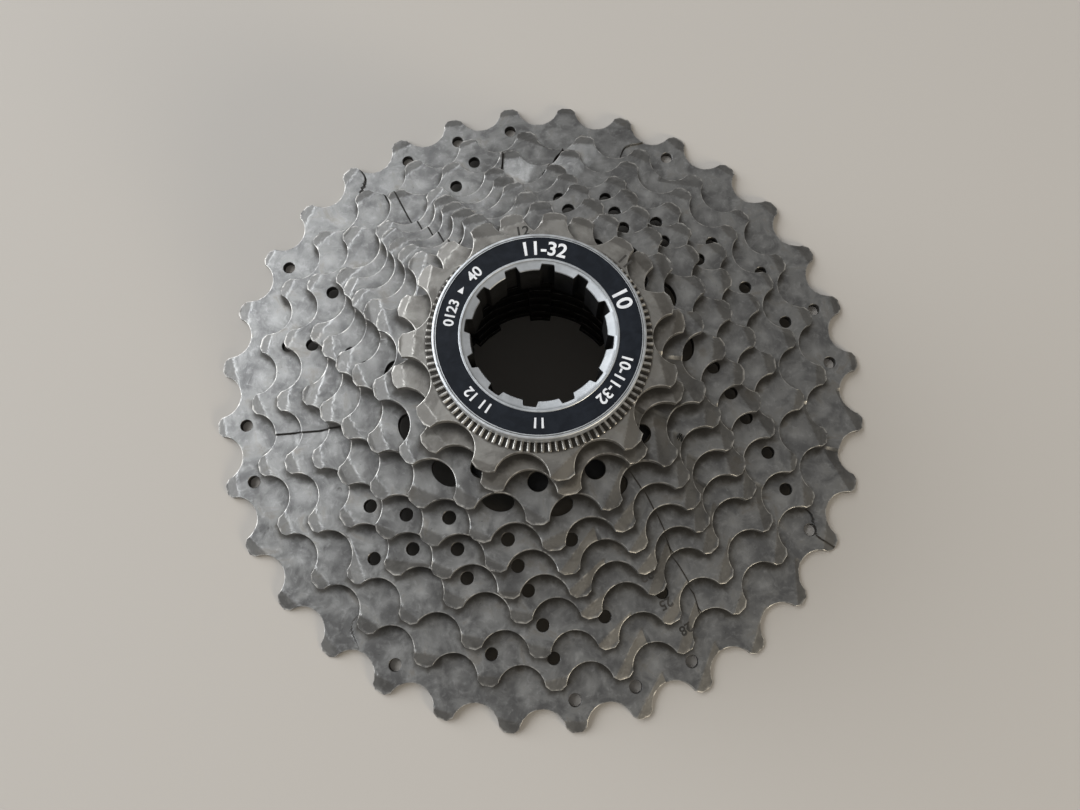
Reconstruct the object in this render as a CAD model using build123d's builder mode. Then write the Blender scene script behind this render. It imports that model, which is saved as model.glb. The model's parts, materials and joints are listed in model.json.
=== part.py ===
"""Ten-speed bicycle cassette, 11 to 32 teeth, for a splined freehub body.

The seven largest sprockets are riveted together with resin spacers between them.
A loose spacer, three loose sprockets, a washer and a threaded lock ring stack on top.
The part's own axis is Z. The origin is on that axis at the underside of the largest
sprocket, and +Z points to the lock ring. Units are millimetres and degrees.
"""
import os
from math import cos, pi, radians, sin

from build123d import *

# ---- Chain and teeth --------------------------------------------------------------
chain_pitch = 12.7
seat_radius = 4.51          # radius of the round gap between two teeth, easy round a worn chain's roller
seat_half_angle = 78        # how far the round seat runs each side of its bottom
gap_depth = 3.87            # bottom of a gap below the pitch circle
tooth_addendum = 0.68       # tooth tip above the pitch circle
tooth_land = 1.95           # width of a tooth's tip
gap_overrun = 2.0           # a gap is cut this far past the tips

# ---- Stack ------------------------------------------------------------------------
sprocket_thickness = 1.6
sprocket_spacing = 3.95     # from one sprocket's face to the next one's

# ---- Freehub spline ---------------------------------------------------------------
spline_count = 9
spline_groove_radius = 17.4     # bottom of the grooves between a sprocket's keys
spline_key_radius = 16.2        # tips of the keys
spline_key_width = 6.0
narrow_key_width = 4.4          # one key is narrower, so the sprocket goes on one way round
spacer_bore_clearance = 0.2     # the resin spacers are this much looser on the spline

# ---- Rivets -----------------------------------------------------------------------
rivet_count = 3
rivet_circle_radius = 21.0
rivet_radius = 1.3
rivet_clock = 117               # first rivet, clockwise from +Y
rivet_hole_clearance = 0.02
rivet_head_radius = 2.1
rivet_head_height = 0.7
rivet_head_flat = 1.7           # radius of the flat on top of the head
rivet_sink_radius = 2.3         # countersunk end, flush with the largest sprocket
rivet_sink_depth = 0.9

# ---- Spacers ----------------------------------------------------------------------
spacer_outer_radius = 23.3
rivet_head_clearance = 0.3      # loose spacer's holes round the rivet heads

# ---- Loose sprockets' collars -----------------------------------------------------
collar_radius_12t = 20.0
collar_radius_11t = 18.2
serration_outer_radius = 18.5
serration_height = 0.35

# ---- Lock ring and washer ---------------------------------------------------------
washer_inner_radius = 15.45
washer_outer_radius = 17.0
washer_thickness = 0.4
ring_radius = 17.2
ring_thickness = 3.1
ring_edge = 0.3                 # chamfer round the flange
band_outer_radius = 16.5        # sunk dark band on the flange
band_inner_radius = 12.5
band_depth = 0.1
thread_radius = 15.3            # 30.6 mm across, 24 threads per inch
thread_length = 5.4
thread_lead_in = 0.6
tool_notch_count = 12
tool_notch_radius = 12.0
tool_notch_width = 2.3
tool_notch_clock = 7            # first notch, clockwise from +Y
tool_land_radius = 11.0
tool_land_slope = 0.8           # how far the lands slope down from the flange's face

# ---- Punched holes ----------------------------------------------------------------
guide_hole_radius = 1.2
guide_hole_inset = 1.28         # hole's centre, in from the bottom of the tooth gaps
oval_window_length = 5.8
oval_window_width = 4.0
oval_window_radius = 25.5
small_window_radius = 1.75
small_window_inset = 2.68

# Each sprocket: teeth, clocking of tooth 0 clockwise from +Y, clocking of the punched holes
# (punched with the shift ramps, so they are a little off the teeth) and teeth with a guide hole
sprocket_table = (
    (32, 5.1, 4.9, (2, 6, 7, 10, 13, 14, 15, 18, 22, 23, 26, 29, 30, 31)),
    (28, 9.8, 10.0, (4, 5, 8, 13, 14, 21, 26)),
    (25, 7.1, 6.5, (1, 3, 4, 7, 10, 11, 12, 15, 19, 20, 23)),
    (22, 4.2, 3.0, (1, 2, 3, 6, 11, 12, 13, 14, 17)),
    (20, 7.7, 6.2, (0, 1, 2, 5, 10, 11, 12, 15)),
    (18, 11.9, 10.0, (0, 1, 4, 8, 9, 10, 13)),
    (16, 18.1, 16.1, ()),
    (14, 0.5, 0.6, ()),
    (12, 18.3, 18.3, ()),
    (11, 6.8, 6.8, ()),
)
oval_window_teeth = (1, 2, 3, 6, 7, 8, 9, 10, 11, 14, 15)      # in the 16 tooth sprocket
small_window_teeth = (1, 2, 5, 6, 7, 8, 12)                    # in the 14 tooth sprocket
pinned_count = 7                # sprockets that the rivets hold together

# Long windows round the hubs of the large sprockets: inner end, outer end and width
arm_count = 12
arm_windows = {
    32: (28.5, 49.5, 11.0),
    28: (28.5, 43.5, 9.0),
    25: (28.5, 38.0, 7.0),
    22: (28.5, 34.5, 5.0),
}

# ---- Worked out from the above ----------------------------------------------------
spacer_thickness = sprocket_spacing - sprocket_thickness
pinned_top = sprocket_spacing * (pinned_count - 1) + sprocket_thickness
stack_top = sprocket_spacing * (len(sprocket_table) - 1) + sprocket_thickness
washer_base = stack_top + serration_height
ring_base = washer_base + washer_thickness
ring_top = ring_base + ring_thickness


def pitch_radius(teeth):
    """Radius of the circle that the chain's rollers lie on."""
    return chain_pitch / sin(pi / teeth) / 2


def tooth_gap(teeth):
    """One gap between two teeth, centred on +X: a round seat and two straight flanks."""
    bottom = pitch_radius(teeth) - gap_depth
    tip = pitch_radius(teeth) + tooth_addendum
    half = radians(seat_half_angle)
    flank_foot = Vector(bottom + seat_radius * (1 - cos(half)), seat_radius * sin(half))
    land_angle = pi / teeth - tooth_land / 2 / tip
    land_edge = Vector(tip * cos(land_angle), tip * sin(land_angle))
    past_tip = land_edge * ((tip + gap_overrun) / tip)
    with BuildSketch() as gap:
        with BuildLine():
            ThreePointArc(
                (flank_foot.X, -flank_foot.Y), (bottom, 0), (flank_foot.X, flank_foot.Y)
            )
            Polyline(
                (flank_foot.X, flank_foot.Y),
                (land_edge.X, land_edge.Y),
                (past_tip.X, past_tip.Y),
                (tip + gap_overrun, 0),
                (past_tip.X, -past_tip.Y),
                (land_edge.X, -land_edge.Y),
                (flank_foot.X, -flank_foot.Y),
            )
        make_face()
    return gap.sketch


def spline_bore(looseness=0.0):
    """The hole that slides on the freehub: a circle with keys standing into it."""
    with BuildSketch() as bore:
        Circle(spline_groove_radius + looseness)
        for key in range(spline_count):
            width = narrow_key_width if key == 0 else spline_key_width
            with PolarLocations(spline_groove_radius, 1, start_angle=90 - 360 / spline_count * key):
                Rectangle(spline_groove_radius, width - 2 * looseness, mode=Mode.SUBTRACT)
        Circle(spline_key_radius + looseness)
    return bore.sketch


def rivet_places():
    """Where the rivets stand round the axis."""
    return PolarLocations(rivet_circle_radius, rivet_count, start_angle=90 - rivet_clock)


def under_teeth(teeth, clock, chosen, radius):
    """Places on a circle of this radius, one below each chosen tooth, turned to face outwards."""
    angles = [90 - clock - 360 / teeth * tooth for tooth in chosen]
    return [
        Location((radius * cos(radians(angle)), radius * sin(radians(angle)), 0), (0, 0, angle))
        for angle in angles
    ]


os.makedirs("parts", exist_ok=True)

# ---- Sprockets --------------------------------------------------------------------
for level, (teeth, clock, hole_clock, hole_teeth) in enumerate(sprocket_table):
    base = sprocket_spacing * level
    top = base + sprocket_thickness
    gap_bottom = pitch_radius(teeth) - gap_depth
    with BuildPart() as sprocket:
        with BuildSketch(Plane.XY.offset(base)):
            Circle(pitch_radius(teeth) + tooth_addendum)
            with PolarLocations(0, teeth, start_angle=90 - clock + 180 / teeth):
                add(tooth_gap(teeth), mode=Mode.SUBTRACT)
            if hole_teeth:
                with Locations(*under_teeth(teeth, hole_clock, hole_teeth, gap_bottom - guide_hole_inset)):
                    Circle(guide_hole_radius, mode=Mode.SUBTRACT)
            if teeth == 16:
                with Locations(*under_teeth(teeth, hole_clock, oval_window_teeth, oval_window_radius)):
                    Ellipse(oval_window_width / 2, oval_window_length / 2, mode=Mode.SUBTRACT)
            if teeth == 14:
                window_radius = gap_bottom - small_window_inset
                with Locations(*under_teeth(teeth, hole_clock, small_window_teeth, window_radius)):
                    Circle(small_window_radius, mode=Mode.SUBTRACT)
            if teeth in arm_windows:
                inner, outer, width = arm_windows[teeth]
                with PolarLocations((inner + outer) / 2, arm_count, start_angle=90):
                    SlotOverall(outer - inner, width, mode=Mode.SUBTRACT)
        extrude(amount=sprocket_thickness)
        if teeth == 12:
            with BuildSketch(Plane.XY.offset(base)):
                Circle(collar_radius_12t)
            extrude(amount=-spacer_thickness)
        if teeth == 11:
            with BuildSketch(Plane.XY.offset(base)):
                Circle(collar_radius_11t)
            extrude(amount=-spacer_thickness)
            with BuildSketch(Plane.XY.offset(top)):
                Circle(serration_outer_radius)
            extrude(amount=serration_height)
        with BuildSketch(Plane.XY.offset(base - spacer_thickness)):
            add(spline_bore())
        extrude(amount=sprocket_spacing + serration_height, mode=Mode.SUBTRACT)
        if level < pinned_count:
            with BuildSketch(Plane.XY.offset(base)):
                with rivet_places():
                    Circle(rivet_radius + rivet_hole_clearance)
            extrude(amount=sprocket_thickness, mode=Mode.SUBTRACT)
        if level == 0:
            with Locations(Plane.XY.offset(rivet_sink_depth / 2)):
                with rivet_places():
                    Cone(
                        rivet_sink_radius + rivet_hole_clearance,
                        rivet_radius + rivet_hole_clearance,
                        rivet_sink_depth,
                        mode=Mode.SUBTRACT,
                    )
    sprocket.part.label = f"sprocket_{teeth}t"
    export_step(sprocket.part, f"parts/sprocket_{teeth}t.step")

# ---- Resin spacers ----------------------------------------------------------------
for level in range(pinned_count):
    below = sprocket_table[level][0]
    above = sprocket_table[level + 1][0]
    loose = level == pinned_count - 1
    hole_radius = rivet_radius + rivet_hole_clearance
    if loose:
        hole_radius = rivet_head_radius + rivet_head_clearance
    with BuildPart() as spacer:
        with BuildSketch(Plane.XY.offset(sprocket_spacing * level + sprocket_thickness)):
            Circle(spacer_outer_radius)
            add(spline_bore(spacer_bore_clearance), mode=Mode.SUBTRACT)
            with rivet_places():
                Circle(hole_radius, mode=Mode.SUBTRACT)
        extrude(amount=spacer_thickness)
    spacer.part.label = f"spacer_{below}_{above}"
    export_step(spacer.part, f"parts/spacer_{below}_{above}.step")

# ---- Rivets -----------------------------------------------------------------------
for number, place in enumerate(rivet_places()):
    with BuildPart() as rivet:
        with BuildSketch(Plane.XZ):
            with BuildLine():
                Polyline(
                    (0, 0),
                    (rivet_sink_radius, 0),
                    (rivet_radius, rivet_sink_depth),
                    (rivet_radius, pinned_top),
                    (rivet_head_radius, pinned_top),
                    (rivet_head_flat, pinned_top + rivet_head_height),
                    (0, pinned_top + rivet_head_height),
                    close=True,
                )
            make_face()
        revolve(axis=Axis.Z)
    rivet_in_place = rivet.part.moved(place)
    rivet_in_place.label = f"rivet_{number + 1}"
    export_step(rivet_in_place, f"parts/rivet_{number + 1}.step")

# ---- Lock washer ------------------------------------------------------------------
with BuildPart() as lock_washer:
    with BuildSketch(Plane.XY.offset(washer_base)):
        Circle(washer_outer_radius)
        Circle(washer_inner_radius, mode=Mode.SUBTRACT)
    extrude(amount=washer_thickness)
lock_washer.part.label = "lock_washer"
export_step(lock_washer.part, "parts/lock_washer.step")

# ---- Lock ring --------------------------------------------------------------------
with BuildPart() as lock_ring:
    with BuildSketch(Plane.XZ):
        with BuildLine():
            Polyline(
                (tool_land_radius, ring_base - thread_length),
                (thread_radius - thread_lead_in, ring_base - thread_length),
                (thread_radius, ring_base - thread_length + thread_lead_in),
                (thread_radius, ring_base),
                (ring_radius, ring_base),
                (ring_radius, ring_top - ring_edge),
                (ring_radius - ring_edge, ring_top),
                (band_outer_radius, ring_top),
                (band_outer_radius, ring_top - band_depth),
                (band_inner_radius, ring_top - band_depth),
                (tool_land_radius, ring_top - tool_land_slope),
                close=True,
            )
        make_face()
    revolve(axis=Axis.Z)
    with BuildSketch(Plane.XY.offset(ring_base - thread_length)):
        with PolarLocations(tool_notch_radius / 2, tool_notch_count, start_angle=90 - tool_notch_clock):
            Rectangle(tool_notch_radius, tool_notch_width)
    extrude(amount=thread_length + ring_thickness, mode=Mode.SUBTRACT)
lock_ring.part.label = "lock_ring"
export_step(lock_ring.part, "parts/lock_ring.step")

height = ring_top
largest = 2 * (pitch_radius(sprocket_table[0][0]) + tooth_addendum)
print(f"{largest:.2f} mm across the largest teeth, {height:.2f} mm tall")
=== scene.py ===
# %% [markdown]
# # A bicycle cassette
# A cassette is a cone of toothed steel plates. Chain wear, oil and road grit give every
# plate a mottled grey face, while the edges that the chain rubs stay bright and carry painted
# glints besides, and painted shade darkens each plate under the one above. We load the
# imported model, whose nodes are plain, and build a finer surface round each of them.

import json
import math

import bpy
import numpy as np
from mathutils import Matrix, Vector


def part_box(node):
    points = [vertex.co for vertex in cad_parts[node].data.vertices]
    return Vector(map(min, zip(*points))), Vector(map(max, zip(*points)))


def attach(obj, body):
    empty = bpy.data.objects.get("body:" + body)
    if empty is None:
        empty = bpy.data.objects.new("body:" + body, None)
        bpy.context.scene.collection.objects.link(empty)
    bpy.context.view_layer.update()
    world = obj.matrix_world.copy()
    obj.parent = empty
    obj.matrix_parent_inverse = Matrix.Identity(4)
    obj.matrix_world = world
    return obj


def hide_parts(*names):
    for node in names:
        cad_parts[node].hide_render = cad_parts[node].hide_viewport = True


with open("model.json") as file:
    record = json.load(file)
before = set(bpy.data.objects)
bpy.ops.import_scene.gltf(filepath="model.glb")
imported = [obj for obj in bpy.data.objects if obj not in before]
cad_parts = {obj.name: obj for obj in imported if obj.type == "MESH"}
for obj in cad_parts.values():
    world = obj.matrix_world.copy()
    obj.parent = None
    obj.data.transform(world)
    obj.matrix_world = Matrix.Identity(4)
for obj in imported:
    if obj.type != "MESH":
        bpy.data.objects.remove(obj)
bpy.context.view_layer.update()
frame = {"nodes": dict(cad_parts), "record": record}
mm = 0.001


def span(node):
    """Lowest and highest corner of a CAD node, as arrays in metres."""
    low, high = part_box(node)
    return np.array(low), np.array(high)


sprocket_nodes = [name for name in frame["nodes"] if name.startswith("sprocket_")]
tooth_counts = sorted((int(name.split("_")[1][:-1]) for name in sprocket_nodes), reverse=True)
levels = {teeth: span(f"sprocket_{teeth}t")[0][2] for teeth in tooth_counts}
print("sprockets:", tooth_counts)

# %% [markdown]
# ## A mesh from arrays
# Every new piece is a grid of points worked out as whole arrays. A grid that closes on
# itself both ways is a watertight ring, which is what nearly every part of a cassette is.

# %% Grid and mesh helpers


def ring_quads(rows, columns):
    """Four-sided faces of a rows x columns grid that closes on itself both ways."""
    index = np.arange(rows * columns).reshape(rows, columns)
    down, right = np.roll(index, -1, axis=0), np.roll(index, -1, axis=1)
    return np.stack([index, right, np.roll(down, -1, axis=1), down], axis=-1).reshape(-1, 4)


def add_object(name, data):
    """A new object with this mesh, lamp or camera, put into the scene."""
    made = bpy.data.objects.new(name, data)
    bpy.context.scene.collection.objects.link(made)
    return made


def make_mesh(name, points, quads, crease=30.0, measures=None):
    """A mesh object from an (n, 3) array of metres and an (m, 4) array of corners.

    Edges sharper than crease, in degrees, stay sharp. measures holds one number per
    point under each name, for the materials to read.
    """
    mesh = bpy.data.meshes.new(name)
    mesh.vertices.add(len(points))
    mesh.vertices.foreach_set("co", np.ascontiguousarray(points, dtype=np.float32).ravel())
    mesh.loops.add(quads.size)
    mesh.loops.foreach_set("vertex_index", quads.ravel().astype(np.int32))
    mesh.polygons.add(len(quads))
    mesh.polygons.foreach_set("loop_start", np.arange(0, quads.size, 4, dtype=np.int32))
    mesh.polygons.foreach_set("use_smooth", np.ones(len(quads), dtype=bool))
    mesh.update(calc_edges=True)
    mesh.set_sharp_from_angle(angle=math.radians(crease))
    for label, values in (measures or {}).items():
        layer = mesh.attributes.new(label, "FLOAT", "POINT")
        layer.data.foreach_set("value", np.asarray(values, dtype=np.float32).ravel())
    print(f"{name}: {len(points)} points, {len(quads)} faces")
    return add_object(name, mesh)


def smoothstep(low, high, value):
    """0 below low, 1 above high and a smooth S between."""
    t = np.clip((value - low) / (high - low), 0.0, 1.0)
    return t * t * (3.0 - 2.0 * t)


# %% [markdown]
# ## The outline of a sprocket
# Between two teeth a chain roller sits in a round seat, a little wider than itself. From
# its ends two flanks rise to the teeth's narrow tips, whose corners are worn round. We work
# out one gap, from tooth middle to tooth middle, and turn copies of it round the axis.

# %% Tooth outline
chain_pitch = 12.7 * mm
seat_radius = 4.51 * mm
seat_half_angle = math.radians(78)
gap_depth = 3.87 * mm         # bottom of a gap below the circle of the rollers' centres
tooth_addendum = 0.68 * mm    # tips of the teeth above that circle
tooth_land = 1.95 * mm        # width of a tooth's tip
corner_round = 0.16 * mm
seat_points, flank_points, corner_points, land_points = 11, 5, 3, 4


def pitch_radius(teeth):
    """Radius of the circle that the rollers' centres lie on."""
    return chain_pitch / math.sin(math.pi / teeth) / 2


def root_radius(teeth):
    """Radius to the bottom of the gaps."""
    return pitch_radius(teeth) - gap_depth


def tip_radius(teeth):
    """Radius to the tips of the teeth."""
    return pitch_radius(teeth) + tooth_addendum


def half_gap(teeth):
    """Points from the bottom of a gap to the middle of the next tooth, as (along radius, across).

    A round seat, a straight flank, a corner rounded as a quadratic curve and the tip's arc.
    """
    tip = tip_radius(teeth)
    turn = np.linspace(0.0, seat_half_angle, seat_points)
    seat_centre = root_radius(teeth) + seat_radius
    seat = np.stack([seat_centre - seat_radius * np.cos(turn), seat_radius * np.sin(turn)], axis=1)
    land_angle = math.pi / teeth - tooth_land / 2 / tip
    corner = tip * np.array([math.cos(land_angle), math.sin(land_angle)])
    rise = corner - seat[-1]
    before = corner - rise / np.linalg.norm(rise) * corner_round
    after_angle = land_angle + corner_round / tip
    after = tip * np.array([math.cos(after_angle), math.sin(after_angle)])
    flank = seat[-1] + np.linspace(0.0, 1.0, flank_points)[1:-1, None] * (before - seat[-1])
    t = np.linspace(0.0, 1.0, corner_points)[:, None]
    worn_corner = (1 - t) ** 2 * before + 2 * t * (1 - t) * corner + t**2 * after
    land_turn = np.linspace(after_angle, math.pi / teeth, land_points)[1:]
    land = tip * np.stack([np.cos(land_turn), np.sin(land_turn)], axis=1)
    return np.vstack([seat, flank, worn_corner, land])


def sprocket_outline(teeth, clock):
    """The whole outline, counter-clockwise, with one tooth's middle at clock degrees from +Y."""
    up = half_gap(teeth)
    one_gap = np.vstack([up[:0:-1] * [1, -1], up[:-1]])
    angles = math.radians(90 - clock) + 2 * math.pi / teeth * (np.arange(teeth) + 0.5)
    turn = np.array([[np.cos(angles), -np.sin(angles)], [np.sin(angles), np.cos(angles)]])
    return np.einsum("ijk,pj->kpi", turn, one_gap).reshape(-1, 2)


def with_columns_at(outline, angles):
    """The outline with further points on its straight sides, one at each of these angles."""
    own = np.unwrap(np.arctan2(outline[:, 1], outline[:, 0]))
    wanted = own[0] + (np.asarray(angles) - own[0]) % (2 * math.pi)
    closed = np.vstack([outline, outline[:1]])
    start = np.searchsorted(own, wanted, side="right") - 1
    unit = np.stack([np.cos(wanted), np.sin(wanted)], axis=1)
    side = closed[start + 1] - closed[start]
    reach = (closed[start, 0] * side[:, 1] - closed[start, 1] * side[:, 0]) / (
        unit[:, 0] * side[:, 1] - unit[:, 1] * side[:, 0]
    )
    merged = np.vstack([outline, unit * reach[:, None]])
    order = np.argsort(np.concatenate([own, wanted]), kind="stable")
    return merged[order]


def outward_normals(loop):
    """Unit normals of a closed counter-clockwise loop, from each point's two neighbours."""
    along = np.roll(loop, -1, axis=0) - np.roll(loop, 1, axis=0)
    normal = np.stack([along[:, 1], -along[:, 0]], axis=1)
    return normal / np.linalg.norm(normal, axis=1)[:, None]


print("points in one gap:", 2 * len(half_gap(11)) - 2)

# %% [markdown]
# ## The bore
# A sprocket slides on nine splines, so its bore is a circle with nine keys standing in,
# one of them narrower. As a radius against angle the bore is a square wave, and each
# side of a key is a steep step of it.

# %% Bore radius
spline_count = 9
groove_radius = 17.4 * mm
key_radius = 16.2 * mm
key_width = 6.0 * mm
narrow_key_width = 4.4 * mm


def bore_radius(angle, looseness=0.0):
    """Radius of the bore at these angles.

    It is the key radius within half a key's width of a key's middle, and else the groove's.
    """
    step = 2 * math.pi / spline_count
    from_first = math.pi / 2 - angle
    number = np.round(from_first / step)
    off_key = np.abs(from_first - number * step)
    width = np.where(number % spline_count == 0, narrow_key_width, key_width) - 2 * looseness
    half_width_angle = np.arcsin(width / 2 / (groove_radius + looseness))
    return np.where(off_key < half_width_angle, key_radius, groove_radius) + looseness


# %% [markdown]
# ## Holes in a grid
# A punched hole is cut from the flat grid before it becomes a plate: faces whose middle
# lies in the hole go, and the points left on the rim are pulled onto the true outline,
# so that a coarse grid still gives a clean round hole.

# %% Punched holes


def circle_hole(radius, angle, size):
    """A round hole of this size, its centre at this radius and angle."""
    return (radius * np.array([math.cos(angle), math.sin(angle)]), angle, 0.0, size, size)


def hole_measure(points, hole, wider=0.0):
    """How far out each point lies, with 1 on the hole's outline, and its place on that outline.

    A hole is a straight spine of half length spine, swept by an ellipse of two radii, and
    turned to its own angle: a circle has no spine, a slot has equal radii.
    """
    centre, angle, spine, radius_along, radius_across = hole
    unit = np.array([math.cos(angle), math.sin(angle)])
    side = np.array([-unit[1], unit[0]])
    offset = points - centre
    along, across = offset @ unit, offset @ side
    on_spine = np.clip(along, -spine, spine)
    reach = np.hypot((along - on_spine) / (radius_along + wider), across / (radius_across + wider))
    safe = np.maximum(reach, 1e-9)
    rim = centre + (on_spine + (along - on_spine) / safe)[:, None] * unit + (across / safe)[:, None] * side
    return reach, rim


def punch(flat, quads, holes, rim_round):
    """Cuts the holes from a flat grid.

    Gives the points with their rims true and widened by the round, the same points with the
    rims at the holes' own size, the faces left, and the rims' edges as those faces run.
    """
    flat, wall = flat.copy(), flat.copy()
    middle = flat[quads].mean(axis=1)
    gone = np.zeros(len(quads), dtype=bool)
    for hole in holes:
        inside = hole_measure(middle, hole, rim_round)[0] < 1.0
        gone |= inside
        touched = np.intersect1d(quads[inside], quads[~gone])
        flat[touched] = hole_measure(flat[touched], hole, rim_round)[1]
        wall[touched] = hole_measure(flat[touched], hole)[1]
    kept, lost = quads[~gone], quads[gone]
    edges = np.stack([kept, np.roll(kept, -1, axis=1)], axis=-1).reshape(-1, 2)
    lost_edges = np.stack([np.roll(lost, -1, axis=1), lost], axis=-1).reshape(-1, 2)
    on_rim = np.isin(edges @ [len(flat), 1], lost_edges @ [len(flat), 1])
    return flat, wall, kept, edges[on_rim]


# %% [markdown]
# ## A punched plate
# One flat grid runs from the outline to the bore. Its points are used twice, at the top
# face's height and at the bottom face's, and thin rows between them turn the rims over as
# small rounds. Functions of the place on the plate lower the faces where the teeth are
# bevelled and where the shift ramps are sunk.

# %% Flat grids
edge_round = 0.09 * mm
fine_rows, fine_crowding = 20, 1.4
coarse_rows, coarse_crowding = 12, 1.6


def flat_grid(outline, calm_radius, looseness=0.0, fine=fine_rows, coarse=coarse_rows):
    """Flat grid of a plate, row 0 along its outline and the last row along the bore.

    The fine rows blend the outline into a circle; the coarse rows run on to the bore and
    draw closer together as they near it.
    """
    normals = outward_normals(outline)
    angle = np.arctan2(outline[:, 1], outline[:, 0])
    direction = np.stack([np.cos(angle), np.sin(angle)], axis=1)
    bore = direction * bore_radius(angle, looseness)[:, None]
    calm = direction * calm_radius
    rim, bore_rim = outline - normals * edge_round, bore + direction * edge_round
    outward = (np.linspace(0.0, 1.0, fine) ** fine_crowding)[:, None, None]
    inward = (1 - (1 - np.linspace(0.0, 1.0, coarse)) ** coarse_crowding)[1:, None, None]
    rows = np.concatenate([rim + outward * (calm - rim), calm + inward * (bore_rim - calm)])
    return {"rows": rows, "outline": outline, "normals": normals, "bore": bore, "direction": direction}


# %% Plates
round_steps = np.array([(0.3, 0.3), (0.0, 1.0)])    # inset and drop of the rows from face to wall
# How bright the edges are, bared by wear and with painted glints, and how much painted shade
# darkens them, from 0 to 1: the outermost two rows of a face, then the four rows of the outer wall
# and of the bore's wall, and the holes' walls
face_edge = (0.55, 0.1)
outer_edge, outer_shade = (0.9, 0.25, 0.0, 0.3), (0.0, 0.15, 0.5, 0.3)
bore_edge, bore_shade = (0.2, 0.0, 0.0, 0.2), (0.6, 1.0, 1.0, 0.6)
hole_shade = 0.85
turned_edge = 0.3
plate_crease = 14.0


def wall_rows(path, inward, top_z, bottom_z):
    """Four rows round a rim: two turn the top face over onto the wall and two turn it under."""
    inset, drop = round_steps[:, 0, None, None] * edge_round, round_steps[:, 1, None] * edge_round
    across = path + inset * inward
    upper = np.dstack([across, top_z - drop])
    lower = np.dstack([across[::-1], bottom_z + drop[::-1]])
    return np.concatenate([upper, lower])


def strip(ids):
    """Faces between rows of point numbers, each row closed on itself and the rows open."""
    after = np.roll(ids, -1, axis=1)
    return np.stack([ids[:-1], ids[1:], after[1:], after[:-1]], axis=-1).reshape(-1, 4)


def no_relief(flat):
    """A face that is level everywhere."""
    return np.zeros(len(flat))


def plate(
    name,
    grid,
    low,
    high,
    holes=(),
    sunk_top=no_relief,
    sunk_bottom=no_relief,
    shells=(),
    measures=None,
    soil=no_relief,
):
    """A closed plate between two heights, with holes.

    sunk_top and sunk_bottom say how far each face is lowered. shells are further closed
    surfaces of the same piece, each as its points, faces, edge and soil measures. measures
    are single numbers that the materials read, and soil says how dark each place of the top
    face is made: painted shade along the ramps' steps and round the foot of the serrated ring,
    and a darkening of the bevels; the walls of the holes and the bore and the lower part of the
    outer wall get painted shade too.
    """
    rows = grid["rows"]
    row_count, columns = rows.shape[:2]
    index = np.arange(row_count * columns).reshape(row_count, columns)
    right = np.roll(index, -1, axis=1)
    quads = np.stack([index[:-1], right[:-1], right[1:], index[1:]], axis=-1).reshape(-1, 4)
    flat, wall, kept, rim = punch(rows.reshape(-1, 2), quads, holes, edge_round)
    top_z, bottom_z = high - sunk_top(flat), low + sunk_bottom(flat)
    total = len(flat)
    worn_and_glint = np.zeros((row_count, columns))
    worn_and_glint[: len(face_edge)] = np.array(face_edge)[:, None]
    worn_and_glint = worn_and_glint.ravel()
    points = [np.column_stack([flat, top_z]), np.column_stack([flat, bottom_z])]
    edge, soiled_and_shaded = [worn_and_glint, worn_and_glint], [soil(flat), np.zeros(total)]
    faces = [kept, kept[:, ::-1] + total]
    used = 2 * total
    for row, path, inward, turned, wall_edge, wall_shade in (
        (index[0], grid["outline"], -grid["normals"], 1, outer_edge, outer_shade),
        (index[-1], grid["bore"], grid["direction"], -1, bore_edge, bore_shade),
    ):
        made = wall_rows(path, inward, top_z[row], bottom_z[row])
        new = used + np.arange(len(made) * columns).reshape(-1, columns)
        points.append(made.reshape(-1, 3))
        edge.append(np.repeat(wall_edge, columns))
        soiled_and_shaded.append(np.repeat(wall_shade, columns))
        faces.append(strip(np.vstack([row, new, row + total]))[:, ::turned])
        used += new.size
    if len(rim):
        around = np.sort(rim[:, 0])
        start, end = np.searchsorted(around, rim[:, 0]), np.searchsorted(around, rim[:, 1])
        upper, lower = used, used + len(around)
        points.append(np.column_stack([wall[around], top_z[around] - edge_round]))
        points.append(np.column_stack([wall[around], bottom_z[around] + edge_round]))
        edge.append(np.zeros(2 * len(around)))
        soiled_and_shaded.append(np.full(2 * len(around), hole_shade))
        faces.append(np.column_stack([rim[:, 1], rim[:, 0], upper + start, upper + end]))
        faces.append(np.column_stack([upper + end, upper + start, lower + start, lower + end]))
        faces.append(np.column_stack([lower + end, lower + start, rim[:, 0] + total, rim[:, 1] + total]))
        used += 2 * len(around)
    for shell_points, shell_faces, shell_edge, shell_soil_and_shade in shells:
        points.append(shell_points)
        faces.append(shell_faces + used)
        edge.append(shell_edge)
        soiled_and_shaded.append(shell_soil_and_shade)
        used += len(shell_points)
    present, faces = np.unique(np.vstack(faces), return_inverse=True)
    held = {label: np.full(len(present), value) for label, value in (measures or {}).items()}
    held.update(edge=np.concatenate(edge)[present], soil=np.concatenate(soiled_and_shaded)[present])
    return make_mesh(name, np.vstack(points)[present], faces.reshape(-1, 4), plate_crease, held)


def turned_ring(profile, samples):
    """A closed (radius, height) profile, listed anticlockwise, turned about the axis.

    Gives the ring's points and faces and its edge and soil measures.
    """
    profile = np.asarray(profile, dtype=float)
    angle = np.linspace(0.0, 2 * math.pi, samples, endpoint=False)
    radius, height = profile[:, 0, None], profile[:, 1, None]
    height = np.broadcast_to(height, (len(profile), samples))
    points = np.stack([radius * np.cos(angle), radius * np.sin(angle), height], axis=-1).reshape(-1, 3)
    edge, soil = np.full(len(points), turned_edge), np.zeros(len(points))
    return points, ring_quads(len(profile), samples), edge, soil


print("edge round:", edge_round / mm, "mm")

# %% [markdown]
# ## What each sprocket has
# The sprockets are clocked so that their ramps line up and lead the chain from one to
# the next. Small guide holes are punched below some teeth, the two middle sprockets have
# larger windows, and the large ones have long windows round the hub.

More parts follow.
